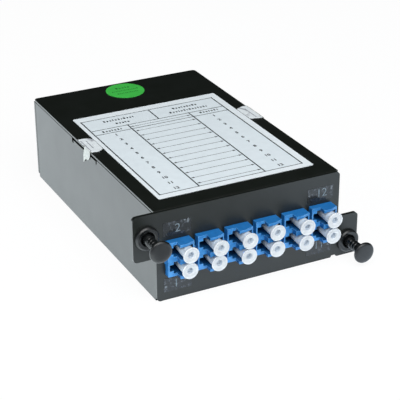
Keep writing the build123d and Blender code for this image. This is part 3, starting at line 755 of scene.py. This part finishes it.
# Label and stickers
class CASSETTE_OT_labels(bpy.types.Operator):
    """Port label with its printed form, round sticker, seals and the panel's number tags."""

    bl_idname = "cassette.labels"
    bl_label = "Labels"

    def execute(self, context):
        dress_nodes(["wiring_label"], label_film())
        self.print_label(printed_ink("label_print_ink", "#1d2225", "#2b3135"))
        dress_nodes(["round_sticker"], sticker_film())
        self.print_sticker(printed_ink("sticker_print_ink", "#206f2a", "#28792f"))
        self.seals()
        dress_nodes([f"port_tag_{number}" for number in (1, 2, 11, 12)], clear_tape())
        self.number_tags(printed_ink("tag_print_ink", "#5f6d75", "#76848c"))
        self.lifted_tape(printed_ink("lifted_clear_tape", "#4c5358", "#767d83"))
        return {"FINISHED"}

    def seals(self):
        """Creased seals over the cover's long edges: the left one torn, the right one whole."""
        crease = colours().seal_crease
        # The films: painted shade in the wrinkles, painted shade along the folds, painted shade on
        # the hanging end
        films = (
            seal_film("brittle_white_film", crease, colours().seal),
            seal_film("brittle_white_film_painted_crease_shade", "#7f848c", crease),
            seal_film("brittle_white_film_hanging_painted_shade", crease, colours().seal_hanging),
        )
        # Round the torn film: its part that hangs beyond the edge, then its part on the cover
        left = [(-33.9, 10.2), (-35.6, 10.2), (-35.7, 3.4), (-36.1, 3.5), (-37.4, 4.3)]
        left += [(-38.9, 4.8), (-40.6, 5.1), (-42.1, 5.0), (-41.2, 3.8), (-40.2, 2.9)]
        left += [(-40.0, 1.3), (-39.3, -0.1), (-38.2, -1.0), (-36.9, -1.6), (-35.7, -1.2)]
        left += [(-35.7, -2.4), (-32.5, -2.9), (-30.5, -1.3), (-30.4, 3.0), (-30.4, 8.4)]
        left += [(-31.4, 9.4), (-32.4, 9.9)]
        # Round the whole one: a straight end on the cover, then an arc
        middle_x, middle_y, radius = 34.8, 4.4, 6.75
        right = [(30.3, 9.5), (30.3, -0.8)]
        for step in range(-9, 10):
            angle = math.radians(step * 14.5)
            x, y = middle_x + radius * math.cos(angle), middle_y + radius * math.sin(angle)
            right.append((x, y))
        # The folds get a line of painted shade
        left_folds = ((-35.0, -1.5, 8.6), (-33.2, 0.5, 7.8))
        right_folds = ((33.3, -1.0, 8.6),)
        for name, outline, side, node, folds in (
            ("seal_film_left", left, -1, "seal_tape_left", left_folds),
            ("seal_film_right", right, 1, "seal_tape_right", right_folds),
        ):
            piece = self.cut_film(name, outline)
            self.fold_over(piece, side)
            self.finish_seal(piece, films, node, folds)

    def cut_film(self, name, outline):
        """Flat film above the cover, cut to an outline and divided into small cells."""
        piece = traced(name, [(x, y, FILM_LEVEL) for x, y in outline + outline[:1]])
        bpy.ops.mesh.remove_doubles(threshold=0.005 * MM)
        bpy.ops.mesh.edge_face_add()
        for direction, spots in zip(((1, 0, 0), (0, 1, 0)), zip(*outline)):
            place = min(spots) + FILM_CELL
            while place < max(spots):
                bpy.ops.mesh.select_all(action="SELECT")
                spot = Vector(direction) * place * MM
                bpy.ops.mesh.bisect(plane_co=spot, plane_no=direction)
                place += FILM_CELL
        end_edit()
        return piece

    def fold_over(self, piece, side):
        """Turns the film that reaches beyond the wall on one side down against it."""
        edge = side * (WALL + FILM_GAP) * MM
        start_edit(piece)
        bpy.ops.mesh.bisect(plane_co=(edge, 0, 0), plane_no=(1, 0, 0))
        shape = bmesh.from_edit_mesh(piece.data)
        for vertex in shape.verts:
            vertex.select = side * (vertex.co.x - edge) > 0.01 * MM
        shape.select_flush_mode()
        bmesh.update_edit_mesh(piece.data)
        bpy.ops.transform.rotate(
            value=math.radians(-90 * side),
            orient_axis="Y",
            center_override=(edge, 0, FILM_LEVEL * MM),
        )
        end_edit()

    def finish_seal(self, piece, films, node, folds):
        """Creases the film, dresses its folds and its hanging end in painted shade, and gives it
        its thickness.

        Each fold is an x and a range in y.
        """
        dress(piece, *films)
        # Faces along the folds get painted shade, and the hanging end a darker painted shade
        creased, hanging = 1, 2
        half = 0.25
        for face in piece.data.polygons:
            at = face.center / MM
            if any(abs(at.x - x) < half and low < at.y < high for x, low, high in folds):
                face.material_index = creased
            elif at.z < LID_TOP + 0.1:
                face.material_index = hanging
        crease_size, crease_height = 1.7, 0.26
        creases = bpy.data.textures.new(f"{piece.name}_creases", "CLOUDS")
        creases.noise_scale = crease_size * MM
        creases.noise_depth = 1
        strength = crease_height * MM
        apply_modifier(piece, "DISPLACE", texture=creases, strength=strength, mid_level=0.35)
        apply_modifier(piece, "SOLIDIFY", thickness=FILM_THICKNESS * MM, offset=1.0)
        smooth(piece, 60.0)
        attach(piece, "case")
        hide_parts(node)

    def number_tags(self, ink):
        """Port numbers on the panel's clear tags."""
        above_tape = 0.02
        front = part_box("port_tag_1")[0].y - above_tape * MM
        numbers = (("2", -27.5, 26.5), ("1", -28.3, 5.7), ("12", 28.2, 26.9), ("11", 27.9, 6.5))
        for text, x, z in numbers:
            place = (x * MM, front, z * MM)
            digits = number_piece(text, sizes().digit_height, place, upright=True)
            digits.name = f"tag_number_{text}"
            dress(digits, ink)
            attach(digits, "case")

    def lifted_tape(self, film):
        """Pale specks where the corners of the tags' tape have lifted."""
        above_tape = 0.01
        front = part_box("port_tag_1")[0].y - above_tape * MM
        # Each is an x and a z, a width and a height, and a turn in degrees.
        specks = (
            (-23.7, 28.5, 1.0, 2.0, 8),
            (-24.9, 28.9, 0.9, 0.7, 30),
            (-32.2, 5.1, 1.2, 0.9, 0),
            (23.2, 26.7, 0.8, 0.6, 20),
            (32.2, 28.2, 0.9, 1.8, 8),
            (31.6, 5.9, 0.7, 1.1, -30),
        )
        pieces = []
        for x, z, wide, tall, turn in specks:
            bpy.ops.mesh.primitive_circle_add(vertices=5, radius=0.5, fill_type="NGON")
            speck = bpy.context.object
            speck.scale = (wide * MM, tall * MM, 1.0)
            speck.rotation_euler = (math.radians(90), math.radians(turn), 0)
            speck.location = (x * MM, front, z * MM)
            put_in_mesh()
            pieces.append(speck)
        piece = joined("lifted_tape", pieces, film)
        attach(piece, "case")

    def print_sticker(self, ink):
        """Three faint rows of print on the round sticker."""
        low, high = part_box("round_sticker")
        x, y = (low.x + high.x) / 2 / MM, (low.y + high.y) / 2 / MM
        pieces = []
        for shift, width, tall in ((3.2, 5.6, 1.5), (0.4, 11.0, 0.9), (-2.3, 8.4, 0.9)):
            pieces += self.letters(x, y + shift, width, tall, high.z)
        self.raised("sticker_print", pieces, ink, "green_film")

    def print_label(self, ink):
        """Frame, header lines, arrows, numbers and word bars of the label."""
        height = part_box("wiring_label")[1].z
        half = sizes().ink_width / 2
        thin, arrow = 0.7 * half, 0.1
        word_height, number_height, bold = 1.4, 1.6, 0.07
        x0, x1 = FORM_X
        y0, y1 = FORM_Y
        header = 15.1
        uprights = [(x0, y0, y1), (x1, y0, y1)]
        uprights += [(-13.5, y0, header), (12.2, y0, header), (-0.45, header, y1)]
        pieces = []
        for x, low, high in uprights:
            pieces.append(self.bar(x - half, x + half, low - half, high + half, height))
        for y in (y0, y1, 15.0, 10.8):
            pieces.append(self.bar(x0 + half, x1 - half, y - thin, y + thin, height))
        for row in range(13):
            y = FIRST_ROW - ROW_PITCH * row
            pieces.append(self.bar(-12.2, 10.8, y - arrow, y + arrow, height))
            pieces += [self.arrowhead(-13.1, y, 1, height), self.arrowhead(11.7, y, -1, height)]
        # Each word is a place and a width.
        words = (
            (-14.5, 21.6, 12.3),
            (-14.4, 18.2, 5.0),
            (13.6, 21.6, 10.4),
            (13.65, 18.25, 16.0),
            (-20.8, 12.85, 7.7),
            (20.0, 13.2, 7.9),
        )
        for x, y, width in words:
            pieces += self.letters(x, y, width, word_height, height)
        for number in range(1, 13):
            y = FIRST_ROW - ROW_PITCH * number
            for x in (-21.0, 19.65):
                place = (x * MM, y * MM, height)
                pieces.append(number_piece(str(number), number_height, place, bold))
        self.raised("label_print", pieces, ink, "white_film")

    def letters(self, x, y, width, tall, height):
        """Row of small bars of uneven height that stands for a word, centred on x."""
        # Width and height of each bar, as shares of the row's height
        shapes = [(0.62, 1.0), (0.5, 0.7), (0.55, 0.7), (0.3, 1.0)]
        shapes += [(0.6, 0.7), (0.5, 0.95), (0.35, 0.7)]
        width_share, gap = 0.9, 0.4
        foot = y - tall / 2
        made = []
        at = x - width / 2
        while at < x + width / 2:
            share, rise = shapes[len(made) % len(shapes)]
            share *= width_share
            made.append(self.bar(at, at + share * tall, foot, foot + rise * tall, height))
            at += (share + gap) * tall
        return made

    def bar(self, x0, x1, y0, y1, height):
        """One flat printed bar."""
        bpy.ops.mesh.primitive_plane_add(size=1.0, location=(0, 0, 0))
        piece = bpy.context.object
        piece.scale = ((x1 - x0) * MM, (y1 - y0) * MM, 1.0)
        piece.location = ((x0 + x1) / 2 * MM, (y0 + y1) / 2 * MM, height)
        put_in_mesh()
        return piece

    def arrowhead(self, tip, y, side, height):
        """Flat triangle at an arrow's end, the line being on its positive or negative side."""
        radius = 0.75
        bpy.ops.mesh.primitive_circle_add(vertices=3, radius=radius * MM, fill_type="NGON")
        head = bpy.context.object
        head.rotation_euler = (0, 0, math.radians(90 * side))
        head.scale = (0.75, 1.15, 1.0)
        head.location = ((tip + side * 0.7) * MM, y * MM, height)
        put_in_mesh()
        return head

    def raised(self, name, pieces, ink, slot):
        """Joins flat printed shapes and gives them the ink's thickness."""
        thickness = 0.03
        piece = joined(name, pieces, ink)
        start_edit(piece)
        bpy.ops.mesh.normals_make_consistent(inside=False)
        step = (0, 0, thickness * MM)
        bpy.ops.mesh.extrude_region_move(TRANSFORM_OT_translate={"value": step})
        bpy.ops.mesh.select_all(action="SELECT")
        bpy.ops.mesh.normals_make_consistent(inside=False)
        end_edit()
        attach(piece, "case")


# Couplers, caps and fasteners
class CASSETTE_OT_couplers(bpy.types.Operator):
    """Blue duplex couplers with rounded moulded edges that carry a painted highlight, painted shade
    deep in the ports, end faces painted lighter, and the ceramic sleeves in them.
    """

    bl_idname = "cassette.couplers"
    bl_label = "Couplers"

    def execute(self, context):
        tones = colours()
        blue = coupler_plastic("moulded_blue_pbt", tones.coupler_shade, tones.coupler)
        # The rounded edges carry a painted highlight
        edge = coupler_plastic("moulded_blue_pbt_painted_edge_highlight", tones.coupler_face, tones.coupler_edge)
        # The end faces are painted lighter, for the light that falls on them
        end = coupler_plastic("moulded_blue_pbt_end_painted_light", tones.coupler, tones.coupler_face)
        # Faces inside the ports get painted shade
        deep = coupler_plastic("moulded_blue_pbt_painted_port_shade", tones.coupler_deep, tones.coupler_shade)
        width = sizes().coupler_round
        # Material slots of a body: plain, rounded edges with a painted highlight, painted shade
        # deep in the ports, end faces painted lighter
        in_ports, on_ends = 2, 3
        for index in range(1, 7):
            node = f"lc_coupler_{index}"
            low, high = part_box(node)
            centre = (low + high) / 2
            name = f"coupler_body_{index}"
            body = softened(node, name, width, (blue, edge))
            body.data.materials.append(deep)
            body.data.materials.append(end)
            for face in body.data.polygons:
                if face.material_index != 0:
                    continue
                away = (face.center - centre) / MM
                from_end = min(face.center.y - low.y, high.y - face.center.y) / MM
                if abs(face.normal.y) > 0.8 and from_end < END_DEPTH:
                    face.material_index = on_ends
                elif abs(away.x) < PORT_HALF_WIDTH and abs(away.z) < PORT_HALF_HEIGHT:
                    face.material_index = in_ports
        dress_nodes(["alignment_sleeves"], zirconia())
        return {"FINISHED"}


class CASSETTE_OT_dust_caps(bpy.types.Operator):
    """Milky dust caps: dished head with a dimple, flared neck and slightly tapered stem."""

    bl_idname = "cassette.dust_caps"
    bl_label = "Dust caps"

    def execute(self, context):
        tones = colours()
        milky = cap_plastic("milky_polyethylene", tones.cap_shade, tones.cap)
        # The dimple's floor and the stem are thin: the dimple carries painted shade with a painted
        # blue tint of the coupler behind, and the stem a painted light blue tint.
        dimple = cap_plastic("milky_polyethylene_dimple_painted_shade", tones.cap_dimple_shade, tones.cap_dimple)
        stem = cap_plastic("milky_polyethylene_stem_painted_tint", tones.cap_stem_shade, tones.cap_stem)
        dimple_depth, dimple_radius, stem_start = 1.62, 1.12, 1.2
        in_dimple, on_stem = 1, 2
        # Dimple, dished face, lip, neck, stem and bore, as (radius, distance behind the lip)
        profile = [(0.0, 1.6), (0.88, 1.6), (0.98, 1.5), (1.1, 0.5), (1.2, 0.34)]
        profile += [(1.4, 0.29), (2.2, 0.27), (2.4, 0.16)]
        profile += [(2.56, 0.02), (2.72, 0.0), (2.88, 0.08), (2.95, 0.24), (2.93, 0.45)]
        profile += [(2.7, 0.75), (2.4, 1.1), (2.24, 1.5), (2.2, 2.1)]
        profile += [(1.85, 12.9), (1.6, 13.4), (1.33, 13.4), (1.33, 10.2), (0.0, 9.6)]
        for number in range(1, 13):
            low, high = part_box(f"dust_cap_{number}")
            centre = (low + high) / 2 / MM
            lip = Vector((centre.x, low.y / MM, centre.z))
            cap = turned(f"cap_{number}", profile, (centre.x, low.y / MM, centre.z))
            smooth(cap, 40.0)
            dress(cap, milky, dimple, stem)
            for face in cap.data.polygons:
                away = face.center / MM - lip
                if away.y < dimple_depth and math.hypot(away.x, away.z) < dimple_radius:
                    face.material_index = in_dimple
                elif away.y > stem_start:
                    face.material_index = on_stem
            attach(cap, f"dust_cap_{number}")
            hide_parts(f"dust_cap_{number}")
        return {"FINISHED"}


class CASSETTE_OT_fasteners(bpy.types.Operator):
    """Pulled-out plungers and their collars in the ears."""

    bl_idname = "cassette.fasteners"
    bl_label = "Fasteners"

    def execute(self, context):
        nylon = black_nylon("moulded_black_nylon", 0.28, 0.36)
        # The shanks and the collars' funnels are rubbed bright, nearly black between glints.
        polished = black_nylon("rubbed_black_nylon", 0.12, 0.2)
        head_depth, funnel_radius = 1.45, 2.7
        for side in ("left", "right"):
            low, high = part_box(f"plunger_{side}")
            centre = (low + high) / 2 / MM
            collar = softened(
                f"grommet_{side}",
                f"collar_{side}",
                0.16,
                (nylon,),
                reshape=draw_in_barrel,
            )
            collar.data.materials.append(polished)
            for face in collar.data.polygons:
                away = face.center / MM - centre
                in_funnel = math.hypot(away.x, away.z) < funnel_radius
                face.material_index = 1 if in_funnel else 0
            place = (centre.x, low.y / MM, centre.z)
            plunger = turned(f"button_{side}", self.plunger_profile(), place, 64)
            smooth(plunger, 40.0)
            dress(plunger, nylon, polished)
            for face in plunger.data.polygons:
                behind_head = face.center.y > low.y + head_depth * MM
                face.material_index = 1 if behind_head else 0
            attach(plunger, f"plunger_{side}")
            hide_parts(f"plunger_{side}")
        return {"FINISHED"}

    def plunger_profile(self):
        """Domed head, neck, grooved shank and pointed tip, as (radius, distance) from the front."""
        shank, groove_floor, groove_pitch, grooves = 1.85, 1.6, 1.5, 3
        profile = [(0.0, 0.0), (1.0, 0.02), (1.8, 0.07), (2.5, 0.14), (3.0, 0.22), (3.4, 0.33)]
        profile += [(3.7, 0.48), (3.88, 0.68), (3.95, 0.9), (3.95, 1.15), (3.88, 1.32)]
        profile += [(3.7, 1.4), (2.75, 1.42), (2.68, 1.5), (2.3, 2.12), (2.0, 2.72)]
        profile += [(shank, 3.12), (shank, 4.4)]
        for groove in range(grooves):
            mouth = 4.4 + groove_pitch * groove
            profile += [(1.8, mouth + 0.05), (groove_floor, mouth + 0.3)]
            profile += [(groove_floor, mouth + 0.6), (1.8, mouth + 0.85), (shank, mouth + 0.95)]
        return profile + [(shank, 16.3), (1.8, 16.5), (0.95, 17.85), (0.8, 17.9), (0.0, 17.9)]


# Back and inside
class CASSETTE_OT_back_and_inside(bpy.types.Operator):
    """MPO coupler with its cap and screws, and the fibres and plugs inside."""

    bl_idname = "cassette.back_and_inside"
    bl_label = "Back and inside"

    def execute(self, context):
        tones = colours()
        black = black_abs()
        softened("mpo_coupler", "mpo_coupler_body", 0.15, (black,))
        softened("mpo_dust_cap", "mpo_cap", 0.2, (black,), "mpo_dust_cap")
        softened("mpo_screws", "mpo_screw_heads", 0.08, (zinc_plated_steel(),))
        dress_nodes(["mpo_plug", "fanout_block"], black)
        dress_nodes(["fibre_coil", "mpo_lead", "leads_lower", "leads_upper"], fibre_jacket())
        blue = coupler_plastic("moulded_blue_plug", tones.coupler_shade, tones.coupler)
        dress_nodes([f"lc_plug_{number}" for number in range(1, 13)], blue)
        white = cap_plastic("moulded_white_clips", tones.cap_shade, tones.cap)
        dress_nodes(["coil_clips"], white)
        return {"FINISHED"}


class CASSETTE_PT_panel(bpy.types.Panel):
    """The cassette's pieces and settings."""

    bl_label = "Fibre cassette"
    bl_idname = "CASSETTE_PT_panel"
    bl_space_type = "VIEW_3D"
    bl_region_type = "UI"
    bl_category = "Cassette"

    def draw(self, context):
        for group in (sizes(), colours()):
            for name in group.__annotations__:
                self.layout.prop(group, name)
        for operator in OPERATORS:
            self.layout.operator(operator.bl_idname)


OPERATORS = (
    CASSETTE_OT_stage,
    CASSETTE_OT_sheet_metal,
    CASSETTE_OT_labels,
    CASSETTE_OT_couplers,
    CASSETTE_OT_dust_caps,
    CASSETTE_OT_fasteners,
    CASSETTE_OT_back_and_inside,
)
CLASSES = (CassetteSizes, CassetteColours, *OPERATORS, CASSETTE_PT_panel)


def register():
    for kind in CLASSES:
        bpy.utils.register_class(kind)
    bpy.types.Scene.cassette_sizes = bpy.props.PointerProperty(type=CassetteSizes)
    bpy.types.Scene.cassette_colours = bpy.props.PointerProperty(type=CassetteColours)


def unregister():
    del bpy.types.Scene.cassette_colours
    del bpy.types.Scene.cassette_sizes
    for kind in reversed(CLASSES):
        bpy.utils.unregister_class(kind)


def main():
    register()
    bpy.ops.cassette.stage()
    bpy.ops.cassette.sheet_metal()
    bpy.ops.cassette.labels()
    bpy.ops.cassette.couplers()
    bpy.ops.cassette.dust_caps()
    bpy.ops.cassette.fasteners()
    bpy.ops.cassette.back_and_inside()


if __name__ == "__main__":
    main()
